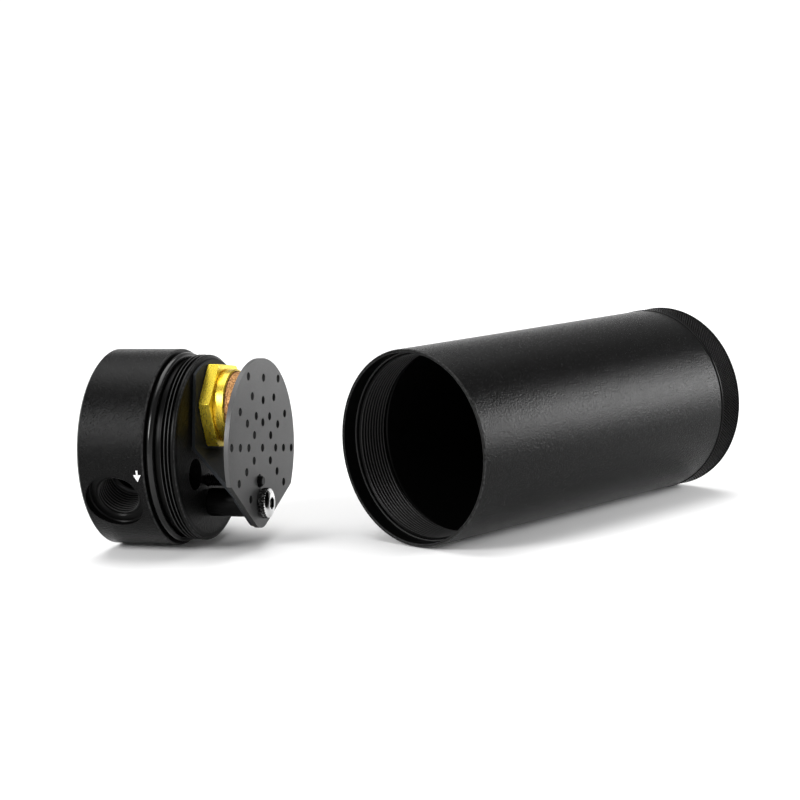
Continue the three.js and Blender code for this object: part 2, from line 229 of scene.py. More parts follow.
CAP_RADIUS = 38.07
CAP_FRONT = 27.4
CAP_BACK_EDGE = 0.9
CAP_FRONT_EDGE = 0.5
GROOVE_RADIUS = 33.4
GROOVE_FRONT = 30.8
NECK_END = 32.1
ROOT_START = 32.5
NECK_RADIUS = 34.3
SPIGOT_ROOT = 34.45
SPIGOT_CREST = 35.85
SPIGOT_LAND = 35.8
SPIGOT_LAND_START = 37.35
SPIGOT_FRONT = 39.2
END_CHAMFER_LENGTH = 0.7
END_CHAMFER_DEPTH = 1.0
END_FACE_RADIUS = 34.5
THREAD_START = 33.15
THREAD_TURNS = 2.9
SPIGOT_RIDGE_FOOT = 34.2
PITCH = 1.5
EDGE_BREAK = 0.14

PORT_AXIAL = 13.1
IN_ANGLE = math.radians(214)
OUT_ANGLE = math.radians(34)
PORT_SEAT = 34.2
PORT_FACE = 11.5
PORT_MINOR = 8.05
PORT_MAJOR = 9.25
PORT_MOUTH = 8.9
PORT_RIDGE_FOOT = 7.8
PORT_EDGE = 0.35
PORT_TOOL_END = CAP_RADIUS + 3
PORT_PITCH = 1.41
PORT_TURNS = 10
PORT_THREAD_INNER = 20.5
CAP_INSIDE = 36.9
PASSAGE = 7.0
IN_PASSAGE_END = 13.0
OUT_PASSAGE_END = 3.0
INLET_HOLE = 6.0
INLET_OFFSET = 18.5
FILTER_HEIGHT = 16.1
FILTER_HOLE = 9.9
POST_DROP = 21.2
POST_HOLE = 3.2
STUD_PLACE = (-2.5, -12.7)
STUD_HOLE = 2.6
BRACKET_HOLE = 2.6
BRACKET_SPACING = 26.0

head_axis = Vector((math.cos(HEAD_TURN), math.sin(HEAD_TURN), 0))
seal_low, seal_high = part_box("head_oring")
head_back = (seal_low + seal_high) / 2 - head_axis * SEAL_AXIAL * MM
head_place = (
    Matrix.Translation(head_back)
    @ Matrix.Rotation(HEAD_TURN, 4, "Z")
    @ Matrix.Rotation(HEAD_ROLL, 4, "X")
    @ Matrix.Scale(MM, 4)
)


def swept(shape, geometry, angle, steps, advance=0.0, merge=False):
    """Turns drawn geometry about X, moving it along X by advance at each step."""
    return bmesh.ops.spin(
        shape, geom=geometry, cent=(0, 0, 0), axis=(1, 0, 0), dvec=(advance, 0, 0), angle=angle,
        steps=steps, use_merge=merge, use_normal_flip=False, use_duplicate=False,
    )


def turned(outline, steps=STEPS):
    """A closed turned shape about X, from [x, radius] points in millimetres."""
    shape = bmesh.new()
    corners = [shape.verts.new((x, 0, radius)) for x, radius in outline]
    wires = [shape.edges.new(pair) for pair in zip(corners, corners[1:])]
    swept(shape, corners + wires, 2 * math.pi, steps, merge=True)
    bmesh.ops.remove_doubles(shape, verts=shape.verts, dist=1e-4)
    bmesh.ops.recalc_face_normals(shape, faces=shape.faces)
    return shape


def rod(radius, start, end, steps=48, at=(0.0, 0.0)):
    shape = turned([(start, 0), (start, radius), (end, radius), (end, 0)], steps)
    bmesh.ops.translate(shape, verts=shape.verts, vec=(0, *at))
    return shape


def thread(section, start, pitch, turns, fade=0.0, steps_per_turn=96):
    """A closed ridge of [x, radius] corners wound round X. Both ends sink by fade into what carries them."""
    shape = bmesh.new()
    corners = [shape.verts.new((start + x, 0, radius)) for x, radius in section]
    ridge = shape.faces.new(corners)
    steps = round(turns * steps_per_turn)
    angle = 2 * math.pi * steps / steps_per_turn
    swept(shape, [*corners, *ridge.edges, ridge], angle, steps, advance=pitch / steps_per_turn)
    for corner in shape.verts:
        done = (corner.co.x - start) / pitch
        share = max(0.0, min(1.0, min(done, turns - done) * 4))
        radius = math.hypot(corner.co.y, corner.co.z)
        corner.co.yz = corner.co.yz * ((radius - fade * (1 - share)) / radius)
    bmesh.ops.recalc_face_normals(shape, faces=shape.faces)
    return shape


def gathered(shapes):
    """Several shapes in one bmesh."""
    whole = bmesh.new()
    for shape in shapes:
        part = bpy.data.meshes.new("part")
        shape.to_mesh(part)
        whole.from_mesh(part)
        bpy.data.meshes.remove(part)
        shape.free()
    return whole


def worked(shape, tools, operation="DIFFERENCE"):
    """The shape after it is cut by, or joined to, tools that don't meet each other."""
    holders = []
    for name, part in (("stock", shape), ("tool", gathered(tools))):
        part_mesh = bpy.data.meshes.new(name)
        part.to_mesh(part_mesh)
        part.free()
        holder = bpy.data.objects.new(name, part_mesh)
        bpy.context.scene.collection.objects.link(holder)
        holders.append(holder)
    stock, tool = holders
    boolean = stock.modifiers.new("work", "BOOLEAN")
    boolean.operation = operation
    boolean.object = tool
    boolean.solver = "EXACT"
    result = bmesh.new()
    result.from_object(stock, bpy.context.evaluated_depsgraph_get())
    for holder in holders:
        part_mesh = holder.data
        bpy.data.objects.remove(holder)
        bpy.data.meshes.remove(part_mesh)
    bmesh.ops.remove_doubles(result, verts=result.verts, dist=1e-4)
    return result


def broken_edges(shape, width, chosen=None, segments=2, sharper_than=32):
    """Breaks the sharp edges that are chosen, or all of them, by width."""
    sharp = [
        edge for edge in shape.edges
        if edge.is_manifold and edge.calc_face_angle(0) > math.radians(sharper_than)
        and (chosen is None or chosen(edge))
    ]
    bmesh.ops.bevel(
        shape, geom=sharp, offset=width, offset_type="OFFSET", affect="EDGES", segments=segments,
        profile=0.5, material=-1, clamp_overlap=True,
    )


def side_ways(shapes, angle, axial):
    """Turns shapes drawn along X so that they point out of the side at an angle."""
    turn = (
        Matrix.Translation((axial, 0, 0))
        @ Matrix.Rotation(angle, 4, "X")
        @ Matrix.Rotation(math.pi / 2, 4, "Z")
    )
    for shape in shapes:
        bmesh.ops.transform(shape, matrix=turn, verts=shape.verts)
    return shapes


def finished(name, shape, place, finish, body, node, smooth_below=33):
    """Puts a drawn shape in its place as a named piece that stands for a CAD node."""
    bmesh.ops.transform(shape, matrix=place, verts=shape.verts)
    mesh = bpy.data.meshes.new(name)
    shape.to_mesh(mesh)
    shape.free()
    mesh.shade_smooth()
    mesh.set_sharp_from_angle(angle=math.radians(smooth_below))
    mesh.materials.append(finish)
    piece = bpy.data.objects.new(name, mesh)
    bpy.context.scene.collection.objects.link(piece)
    flats = piece.modifiers.new("flats", "WEIGHTED_NORMAL")
    flats.mode = "FACE_AREA"
    flats.weight = 60
    flats.keep_sharp = True
    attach(piece, body)
    if node:
        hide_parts(node)
    return piece


def own_place(start, location, rotation):
    """Object coordinates in a piece's own drawing, in millimetres, along its own X axis."""
    place = start.node("ShaderNodeTexCoord", output=3)
    return start.node("ShaderNodeMapping", {"vector_type": "TEXTURE"}, {
        "Vector": place, "Location": location, "Rotation": rotation, "Scale": (MM, MM, MM),
    })


def along_and_out(place):
    """The distance along X and the radius from X of a place signal."""
    parts = place.node("ShaderNodeSeparateXYZ", {}, {0: place})
    tree = place.tree
    node = parts.socket.node
    y, z = Signal(tree, node.outputs[1]), Signal(tree, node.outputs[2])
    return Signal(tree, node.outputs[0]), (y * y + z * z).maths("SQRT", y * y + z * z)


def edge_wear(along, out, corners, width):
    """1 on the listed [x, radius] edges, fading to 0 at a width from them."""
    worn = None
    for x, radius in corners:
        dx, dr = along - x, out - radius
        near = 1 - (dx * dx + dr * dr).maths("SQRT", dx * dx + dr * dr) / width
        near = near.kept()
        worn = near if worn is None else worn.maths("MAXIMUM", worn, near)
    return worn


def nowhere(along, out):
    """A share that is 0 all over the piece."""
    return along * 0.0


def black_anodised(
    name, location, rotation, machined, corners, crest_highlights=nowhere, dull=nowhere, port_crest_highlights=None,
):
    """
    Bead-blasted black anodising. The machined share is smoother and shows the lathe's lines, the listed
    corners are rubbed lighter, and the dull share is rougher. The highlight shares paint the tops of threads
    and knurls
    lighter: a painted highlight. Each share is a function of the distance along X and out from it.
    """
    finish, start = new_finish(name)
    place = own_place(start, location, rotation)
    along, out = along_and_out(place)
    blast = grain(place, 1.6, detail=2.0, rough=0.55)
    coarse = grain(place, 0.55, detail=2.0)
    cloud = grain(place, 0.035, detail=3.0)
    lathe = place.node("ShaderNodeCombineXYZ", {}, {0: along * 3.1, 1: out * 3.1, 2: 0.0})
    lines = grain(lathe, 1.0, detail=3.0, rough=0.6)
    fine = machined(along, out).kept()
    rub = (edge_wear(along, out, corners, 0.55) * (grain(place, 0.9) * 2.4 - 0.6)).kept()
    crest_highlight = crest_highlights(along, out).kept()
    if port_crest_highlights:
        crest_highlight = (crest_highlight + port_crest_highlights(place, out)).kept()
    speck = (grain(place, 1.9, detail=1.0) - 0.56).kept() * 9.0 * (1 - fine)
    shade = (cloud * 0.5 + coarse * 0.35 + blast * 0.15).kept()
    black = shade.mix(grey(0.0012), grey(0.003))
    black = (speck.kept() * 0.6).mix(black, grey(0.009))
    black = (rub * 0.5).mix(black, grey(0.09))
    # Painted highlight: the tops of threads and knurls are painted a lighter grey.
    black = (crest_highlight * 0.75).mix(black, grey(0.045))
    rough = 0.22 + (coarse - 0.5) * 0.06 + (blast - 0.5) * 0.3
    rough = rough * (1 - fine) + (0.3 + (lines - 0.5) * 0.14) * fine - rub * 0.12
    rough = rough + dull(along, out).kept() * 0.2
    height = blast * (1 - fine) + lines * fine * 0.12
    surface(start, {
        "Base Color": black,
        "Roughness": rough.kept(),
        "Specular IOR Level": 0.07,
        "Normal": place.node("ShaderNodeBump", {}, {
            "Strength": 0.9, "Distance": 0.00023, "Height": height,
        }),
    })
    return finish


def port_thread_crest_highlights(place, out):
    """Painted highlight: the tops of the ports' threads, painted lighter, found by their distance from the
    line on which both ports lie.
    """
    parts = place.node("ShaderNodeSeparateXYZ", {}, {0: place}).socket.node.outputs
    along, y, z = (Signal(place.tree, output) for output in parts)
    aside = z * math.cos(IN_ANGLE) - y * math.sin(IN_ANGLE)
    ahead = along - PORT_AXIAL
    reach = (ahead * ahead + aside * aside).maths("SQRT", ahead * ahead + aside * aside)
    return ((PORT_MINOR + 0.3 - reach) / 0.25).kept() * (reach > PASSAGE + 0.4) * (out > PORT_THREAD_INNER)


def head_machined(along, out):
    """The cap's shoulder and the spigot's side, and the seats and bores of the two ports."""
    spigot_side = (along > CAP_FRONT - 0.05) * (out > GROOVE_RADIUS - 0.2)
    return spigot_side + (out < CAP_INSIDE) * (along > 1.2) * (along < CAP_FRONT - 1.4)


def spigot_crest_highlights(along, out):
    """Painted highlight: the tops of the spigot's thread, painted lighter, without the plain land at its end.
    """
    return (out > SPIGOT_CREST - 0.16) * (along > GROOVE_FRONT) * (along < SPIGOT_LAND_START)


head_rotation = (HEAD_ROLL, 0.0, HEAD_TURN)
head_black = black_anodised(
    "head_black", tuple(head_back), head_rotation,
    head_machined,
    [
        (CAP_FRONT - CAP_FRONT_EDGE / 2, CAP_RADIUS - CAP_FRONT_EDGE / 2),
        (CAP_BACK_EDGE / 2, CAP_RADIUS - CAP_BACK_EDGE / 2),
        (SPIGOT_FRONT - 0.3, SPIGOT_LAND - 0.4),
    ],
    crest_highlights=spigot_crest_highlights,
    dull=lambda along, out: (along > SPIGOT_FRONT - 0.05) * (out < END_FACE_RADIUS),
    port_crest_highlights=port_thread_crest_highlights,
)

head_shape = turned([
    (0, 0),
    (0, CAP_RADIUS - CAP_BACK_EDGE),
    (CAP_BACK_EDGE, CAP_RADIUS),
    (CAP_FRONT - CAP_FRONT_EDGE, CAP_RADIUS),
    (CAP_FRONT, CAP_RADIUS - CAP_FRONT_EDGE),
    (CAP_FRONT, GROOVE_RADIUS),
    (GROOVE_FRONT, GROOVE_RADIUS),
    (GROOVE_FRONT, NECK_RADIUS),
    (NECK_END, NECK_RADIUS),
    (ROOT_START, SPIGOT_ROOT),
    (SPIGOT_LAND_START, SPIGOT_ROOT),
    (SPIGOT_LAND_START + 0.3, SPIGOT_LAND),
    (SPIGOT_FRONT - END_CHAMFER_LENGTH, SPIGOT_LAND),
    (SPIGOT_FRONT, SPIGOT_LAND - END_CHAMFER_DEPTH),
    (SPIGOT_FRONT, 0),
])
broken_edges(head_shape, EDGE_BREAK)
spigot_ridge = [
    (-0.58, SPIGOT_RIDGE_FOOT), (-0.12, SPIGOT_CREST), (0.12, SPIGOT_CREST), (0.58, SPIGOT_RIDGE_FOOT),
]
head_shape = worked(
    head_shape, [thread(spigot_ridge, THREAD_START, PITCH, THREAD_TURNS, fade=0.8)], "UNION"
)

port_ridge = [(-0.63, PORT_RIDGE_FOOT), (-0.1, PORT_MAJOR), (0.1, PORT_MAJOR), (0.63, PORT_RIDGE_FOOT)]
port_cores, port_threads = [], []
for port_angle, passage_end in ((IN_ANGLE, IN_PASSAGE_END), (OUT_ANGLE, OUT_PASSAGE_END)):
    thread_back = PORT_SEAT - PORT_TURNS * PORT_PITCH
    core = turned([
        (passage_end, 0),
        (passage_end, PASSAGE),
        (thread_back - 0.8, PASSAGE),
        (thread_back, PORT_MINOR),
        (PORT_SEAT - 0.8, PORT_MINOR),
        (PORT_SEAT, PORT_MOUTH),
        (PORT_SEAT, PORT_FACE - PORT_EDGE),
        (PORT_SEAT + PORT_EDGE, PORT_FACE),
        (PORT_TOOL_END, PORT_FACE),
        (PORT_TOOL_END, 0),
    ], 96)
    winding = thread(
        port_ridge, thread_back + 0.5, PORT_PITCH, PORT_TURNS - 0.4, fade=1.0, steps_per_turn=48,
    )
    port_cores += side_ways([core], port_angle, PORT_AXIAL)
    port_threads += side_ways([winding], port_angle, PORT_AXIAL)
head_shape = worked(head_shape, port_cores)
head_shape = worked(head_shape, port_threads)

inlet_at = (INLET_OFFSET * math.cos(IN_ANGLE), INLET_OFFSET * math.sin(IN_ANGLE))
head_shape = worked(head_shape, [
    rod(INLET_HOLE, PORT_AXIAL, SPIGOT_FRONT + 1, at=inlet_at),
    rod(FILTER_HOLE, PORT_AXIAL - 5, SPIGOT_FRONT + 1, 64, at=(0, FILTER_HEIGHT)),
    rod(POST_HOLE, 29, SPIGOT_FRONT + 1, 32, at=(0, -POST_DROP)),
    rod(STUD_HOLE, 34, SPIGOT_FRONT + 1, 32, at=STUD_PLACE),
    rod(BRACKET_HOLE, -1, 9, 32, at=(BRACKET_SPACING / 2, 0)),
    rod(BRACKET_HOLE, -1, 9, 32, at=(-BRACKET_SPACING / 2, 0)),
])


def on_cap_side(edge):
    """The ports' rims, where their wide bores meet the cap's round side."""
    return all(
        2 < corner.co.x < CAP_FRONT - 1.5 and abs(math.hypot(corner.co.y, corner.co.z) - CAP_RADIUS) < 0.05
        for corner in edge.verts
    )


def on_flat_ends(edge):
    """The rims of the holes in the two flat ends."""
    return all(
        min(abs(corner.co.x - SPIGOT_FRONT), abs(corner.co.x)) < 0.01
        and math.hypot(corner.co.y, corner.co.z) < 30
        for corner in edge.verts
    )


broken_edges(head_shape, 0.3, on_cap_side, segments=3)
broken_edges(head_shape, 0.25, on_flat_ends)
finished("ported_head", head_shape, head_place, head_black, "head", "head_body")

# A small white arrow printed beside each port shows which way the air flows: in at one, out at the other.
# Each is a thin film of ink on the cap's side.

ARROW_AXIAL = 24.6
ARROW_ANGLES = (("inlet_arrow", math.radians(196.4), -1), ("outlet_arrow", math.radians(16.4), 1))
ARROW_HALF = 1.55
ARROW_SUNK = 0.06


def ink_white():
    finish, start = new_finish("ink_white")
    place = start.node("ShaderNodeTexCoord", output=3)
    worn = grain(place, 2600.0, detail=3.0)
    surface(start, {
        "Base Color": worn.mix(grey(0.62), grey(0.86)),
        "Roughness": 0.5 + (worn - 0.5) * 0.3,
        "Specular IOR Level": 0.3,
    })
    return finish


arrow_white = ink_white()
for arrow_name, arrow_angle, way in ARROW_ANGLES:
    arrow_shape = bmesh.new()
    bmesh.ops.create_circle(arrow_shape, cap_ends=True, segments=3, radius=ARROW_HALF * 1.15)
    pointed = Matrix.Rotation(math.pi if way < 0 else 0, 3, "Z")
    bmesh.ops.rotate(arrow_shape, verts=arrow_shape.verts, matrix=pointed)
    bmesh.ops.translate(arrow_shape, verts=arrow_shape.verts, vec=(0, way * 0.75, 0))
    shaft = bmesh.ops.create_grid(arrow_shape, x_segments=1, y_segments=1, size=0.5)["verts"]
    bmesh.ops.scale(arrow_shape, verts=shaft, vec=(0.7, 2.1, 1))
    bmesh.ops.translate(arrow_shape, verts=shaft, vec=(0, -way * 0.85, 0))
    bmesh.ops.translate(arrow_shape, verts=arrow_shape.verts, vec=(0, 0, CAP_RADIUS - ARROW_SUNK))
    film = bmesh.ops.extrude_face_region(arrow_shape, geom=arrow_shape.faces[:], use_keep_orig=True)["geom"]
    raised = [part for part in film if isinstance(part, bmesh.types.BMVert)]
    bmesh.ops.translate(arrow_shape, verts=raised, vec=(0, 0, ARROW_SUNK + 0.03))
    bmesh.ops.recalc_face_normals(arrow_shape, faces=arrow_shape.faces)
    onto_side = Matrix.Translation((ARROW_AXIAL, 0, 0)) @ Matrix.Rotation(arrow_angle - math.pi / 2, 4, "X")
    bmesh.ops.transform(arrow_shape, matrix=onto_side, verts=arrow_shape.verts)
    finished(arrow_name, arrow_shape, head_place, arrow_white, "head", None)

# The head's seal: a moulded ring of black rubber, wet with oil. It lies in the groove at the cap's shoulder
# and seals against the recess in the can's mouth.

SEAL_RADIUS = 35.25
SEAL_SECTION = 1.5


def black_rubber():
    finish, start = new_finish("black_rubber")
    place = start.node("ShaderNodeTexCoord", output=3)
    smear = grain(place, 160.0, detail=3.0)
    skin = grain(place, 2400.0, detail=2.0)
    surface(start, {
        "Base Color": smear.mix(grey(0.002), grey(0.006)),
        "Roughness": (0.13 + smear * 0.12 + (skin - 0.5) * 0.06).kept(),
        "Specular IOR Level": 0.3,
        "Normal": start.node("ShaderNodeBump", {}, {
            "Strength": 0.2, "Distance": 0.00004, "Height": skin,
        }),
    })
    return finish


def seal_ring(radius, section, axial):
    shape = bmesh.new()
    bmesh.ops.create_circle(shape, segments=24, radius=section)
    upright = Matrix.Translation((axial, 0, radius)) @ Matrix.Rotation(math.pi / 2, 4, "X")
    bmesh.ops.transform(shape, matrix=upright, verts=shape.verts)
    swept(shape, shape.verts[:] + shape.edges[:], 2 * math.pi, STEPS, merge=True)
    bmesh.ops.recalc_face_normals(shape, faces=shape.faces)
    return shape


rubber = black_rubber()
finished(
    "head_seal", seal_ring(SEAL_RADIUS, SEAL_SECTION, SEAL_AXIAL), head_place, rubber, "head", "head_oring",
)

# The perforated baffle: a laser-cut disc of black sheet with six staggered rings of small holes. It narrows
# to a rounded lobe at its screw, and stands in front of the filter to catch oil drops.

BAFFLE_RADIUS = 34.5
BAFFLE_BACK = 58.5
BAFFLE_FRONT = 60.4
LOBE_RADIUS = 9.7
LOBE_SLOPE = math.radians(30)
HOLE_START = BAFFLE_BACK - 1
HOLE_END = BAFFLE_FRONT + 1
BAFFLE_HOLE = 1.6
FIRST_RING = 9.77
RING_STEP = 4.29
RINGS = 6
FULL_RING = 4


def lobed_sheet(inset, back, front):
    """A disc cut back by two tangents to the lobe round the screw, made thick along X."""
    radius, lobe = BAFFLE_RADIUS - inset, LOBE_RADIUS - inset
    tip_drop = POST_DROP + lobe / math.cos(LOBE_SLOPE)
    shape = bmesh.new()
    bmesh.ops.create_circle(shape, cap_ends=True, segments=STEPS, radius=radius)
    bmesh.ops.rotate(shape, verts=shape.verts, matrix=Matrix.Rotation(math.pi / 2, 3, "Y"))
    for side in (-1, 1):
        bmesh.ops.bisect_plane(
            shape, geom=shape.verts[:] + shape.edges[:] + shape.faces[:], dist=1e-5,
            plane_co=(0, 0, -tip_drop), plane_no=(0, side * math.sin(LOBE_SLOPE), -math.cos(LOBE_SLOPE)),
            clear_outer=True,
        )
    tip = min(shape.verts, key=lambda corner: corner.co.z)
    bmesh.ops.bevel(
        shape, geom=[tip], offset=lobe * math.tan(LOBE_SLOPE), offset_type="OFFSET", affect="VERTICES",
        segments=24, profile=0.5, material=-1,
    )
    bmesh.ops.translate(shape, verts=shape.verts, vec=(back, 0, 0))
    raised = bmesh.ops.extrude_face_region(shape, geom=shape.faces[:], use_keep_orig=True)["geom"]
    moved = [part for part in raised if isinstance(part, bmesh.types.BMVert)]
    bmesh.ops.translate(shape, verts=moved, vec=(front - back, 0, 0))
    bmesh.ops.recalc_face_normals(shape, faces=shape.faces)
    return shape


def satin_sheet(name, tone, way, gloss, rough, warmth=0.0, shaded_hole_walls=nowhere):
    """Black anodised sheet, rolled one way, with faint rubs. The sides of its holes are matt and painted
    nearly black: painted shade inside the holes.
    """
    finish, start = new_finish(name)
    place = own_place(start, tuple(head_back), head_rotation)
    rolled = start.node("ShaderNodeMapping", {}, {"Vector": place, "Scale": way})
    lines = grain(rolled, 1.0, detail=4.0, rough=0.6)
    blast = grain(place, 2.2, detail=2.0)
    cloud = grain(place, 0.06, detail=3.0)
    shade = (cloud * 0.55 + lines * 0.45).kept()
    rub = (grain(place, 0.22, detail=5.0, rough=0.7) - 0.6).kept() * 2.2
    along, out = along_and_out(place)
    # Painted shade: the sides of the holes are painted nearly black.
    wall = shaded_hole_walls(along, out).kept()
    tones = shade.mix(grey(tone * 0.75, warmth), grey(tone * 1.2, warmth))
    surface(start, {
        "Base Color": wall.mix(rub.kept().mix(tones, grey(tone * 1.7, warmth)), grey(0.0015)),
        "Roughness": (rough + wall * 0.4 + (lines - 0.5) * 0.14 + (blast - 0.5) * 0.16 - rub * 0.08).kept(),
        "Specular IOR Level": gloss,
        "Normal": start.node("ShaderNodeBump", {}, {
            "Strength": 0.5, "Distance": 0.00008, "Height": blast * 0.7 + lines * 0.3,
        }),
    })
    return finish


baffle_holes = [rod(BAFFLE_HOLE, HOLE_START, HOLE_END, 24)]
for count in range(1, RINGS + 1):
    odd = count % 2
    ring_radius = FIRST_RING + RING_STEP * (count - 1)
    for step in range(6):
        degrees = step * 60 + (30 if odd else 0)
        below = degrees == 270 if odd else degrees in (240, 300)
        if below and count != FULL_RING:
            continue
        turn = math.radians(degrees)
        hole_at = (ring_radius * math.cos(turn), ring_radius * math.sin(turn))
        baffle_holes.append(rod(BAFFLE_HOLE, HOLE_START, HOLE_END, 24, at=hole_at))
baffle_holes.append(rod(POST_HOLE, HOLE_START, HOLE_END, 32, at=(0, -POST_DROP)))
baffle_holes.append(rod(STUD_HOLE, HOLE_START, HOLE_END, 32, at=STUD_PLACE))
baffle_shape = worked(lobed_sheet(0.02, BAFFLE_BACK, BAFFLE_FRONT), baffle_holes)
broken_edges(baffle_shape, 0.16, sharper_than=50)
sheet_black = satin_sheet(
    "sheet_black", 0.042, (0.6, 0.35, 4.0), gloss=0.5, rough=0.42,
    shaded_hole_walls=lambda along, out: (along > BAFFLE_BACK + 0.05) * (along < BAFFLE_FRONT - 0.12) * (out < 34.0),
)
finished("perforated_baffle", baffle_shape, head_place, sheet_black, "head", "baffle_plate")

# The diverter: a strip of thinner black sheet, folded twice. It is clamped under the filter's hexagon, slopes
# out past the inlet hole and ends in a tab behind the baffle. It turns the incoming air down into the can.

SHEET = 1.2
DIVERTER_BACK = 39.5
DIVERTER_HALF_WIDTH = 19.8
FOLD_HEIGHT = -0.7
SLOPE_END = -19.4
TAB_BACK = BAFFLE_BACK - 0.3 - SHEET
SLOPE_RISE = 0.9
FOLD_RISE = 0.5
STRIP_END = 40
BEND_WIDTH = 0.7
DIVERTER_INSET = 0.62
POST_CLEARANCE = 5.8

fold = bmesh.new()
strip_corners = [
    (DIVERTER_BACK, STRIP_END), (DIVERTER_BACK, FOLD_HEIGHT), (TAB_BACK, SLOPE_END), (TAB_BACK, -STRIP_END),
    (TAB_BACK + SHEET, -STRIP_END), (TAB_BACK + SHEET, SLOPE_END + SLOPE_RISE),
    (DIVERTER_BACK + SHEET, FOLD_HEIGHT + FOLD_RISE), (DIVERTER_BACK + SHEET, STRIP_END),
]
strip = fold.faces.new([fold.verts.new((x, -DIVERTER_HALF_WIDTH, z)) for x, z in strip_corners])
pulled = bmesh.ops.extrude_face_region(fold, geom=[strip], use_keep_orig=True)["geom"]
bmesh.ops.translate(
    fold, verts=[part for part in pulled if isinstance(part, bmesh.types.BMVert)],
    vec=(0, 2 * DIVERTER_HALF_WIDTH, 0),
)
bmesh.ops.recalc_face_normals(fold, faces=fold.faces)
bends = [
    edge for edge in fold.edges
    if all(abs(corner.co.z) < STRIP_END - 10 for corner in edge.verts)
    and edge.calc_length() > DIVERTER_HALF_WIDTH * 1.9
]
bmesh.ops.bevel(
    fold, geom=bends, offset=BEND_WIDTH, offset_type="OFFSET", affect="EDGES", segments=5, profile=0.5,
    material=-1,
)
fold = worked(fold, [lobed_sheet(DIVERTER_INSET, DIVERTER_BACK - 1, BAFFLE_FRONT)], "INTERSECT")
fold = worked(fold, [
    rod(FILTER_HOLE, DIVERTER_BACK - 1, DIVERTER_BACK + SHEET + 1, 64, at=(0, FILTER_HEIGHT)),
    rod(STUD_HOLE, DIVERTER_BACK, BAFFLE_FRONT, 32, at=STUD_PLACE),
    rod(POST_HOLE, DIVERTER_BACK + 2, BAFFLE_FRONT, 32, at=(0, -POST_DROP)),
])
fold = worked(fold, [rod(POST_CLEARANCE, DIVERTER_BACK, TAB_BACK - 0.01, 48, at=(0, -POST_DROP))])
broken_edges(fold, 0.1, sharper_than=50)
# Painted shade: the diverter gets a much darker copy of the baffle's sheet finish, for the shade under the
# filter's hexagon.
diverter_black_painted_shade = satin_sheet("diverter_black_painted_shade", 0.016, (3.0, 0.3, 0.6), gloss=0.08, rough=0.6, warmth=-0.12)
finished("air_diverter_sheet", fold, head_place, diverter_black_painted_shade, "head", "air_diverter")

# The baffle's standoff: a turned post of black anodised aluminium. Its stud screws into the head, and its
# front end is tapped for the baffle's screw.

POST_BACK = 39.5
POST_FRONT = 56.7
POST_RADIUS = 5.5
POST_STUD = 2.9
POST_STUD_END = 30.5
TAPPED_DEPTH = 11.0

post_shape = turned([
    (POST_STUD_END, 0),
    (POST_STUD_END, POST_STUD),
    (POST_BACK, POST_STUD),
    (POST_BACK, POST_RADIUS),
    (POST_FRONT, POST_RADIUS),
    (POST_FRONT, POST_HOLE),
    (POST_FRONT - TAPPED_DEPTH, POST_HOLE),
    (POST_FRONT - TAPPED_DEPTH, 0),
], 64)
broken_edges(post_shape, 0.25)
bmesh.ops.translate(post_shape, verts=post_shape.verts, vec=(0, 0, -POST_DROP))
post_black = black_anodised(
    "post_black", tuple(head_back), head_rotation, lambda along, out: along > 0.0, [(POST_BACK, 26.0)],
)
finished(
    "baffle_standoff", post_shape, head_place, post_black, "head", "baffle_post",
)

# The locating stud: a length of blackened threaded rod. It stands in the head, passes through the diverter
# and the baffle, and stops them turning.

STUD_ROOT = 1.95
STUD_CREST = 2.28
STUD_PITCH = 0.8
STUD_BACK = 34.3
STUD_FRONT = 62.0
STUD_RIDGE_FOOT = 1.85

stud_shape = turned([
    (STUD_BACK, 0), (STUD_BACK, STUD_ROOT - 0.2), (STUD_BACK + 0.3, STUD_ROOT),
    (STUD_FRONT - 0.4, STUD_ROOT), (STUD_FRONT, STUD_ROOT - 0.4), (STUD_FRONT, 0),
], 32)
stud_ridge = [(-0.36, STUD_RIDGE_FOOT), (-0.05, STUD_CREST), (0.05, STUD_CREST), (0.36, STUD_RIDGE_FOOT)]
stud_turns = (STUD_FRONT - STUD_BACK - 1.4) / STUD_PITCH
stud_shape = worked(
    stud_shape,
    [thread(stud_ridge, STUD_BACK + 0.7, STUD_PITCH, stud_turns, fade=0.35, steps_per_turn=32)], "UNION",
)
bmesh.ops.translate(stud_shape, verts=stud_shape.verts, vec=(0, *STUD_PLACE))
finished("threaded_stud", stud_shape, head_place, post_black, "head", "locating_stud")

# The baffle's screw: a blackened steel screw with a hexagon socket. Its side has a straight knurl, where the
# black is worn through in places, and its domed face is polished bright.

SCREW_BACK = 60.7
SCREW_RIM = 63.5
SCREW_HEAD = 5.88
DOME = 1.1
SCREW_TEETH = 32
VALLEY_SHARE = 0.925
SOCKET = 2.5
SOCKET_DEPTH = 2.6
SCREW_END = 47.6
SHANK = 2.9

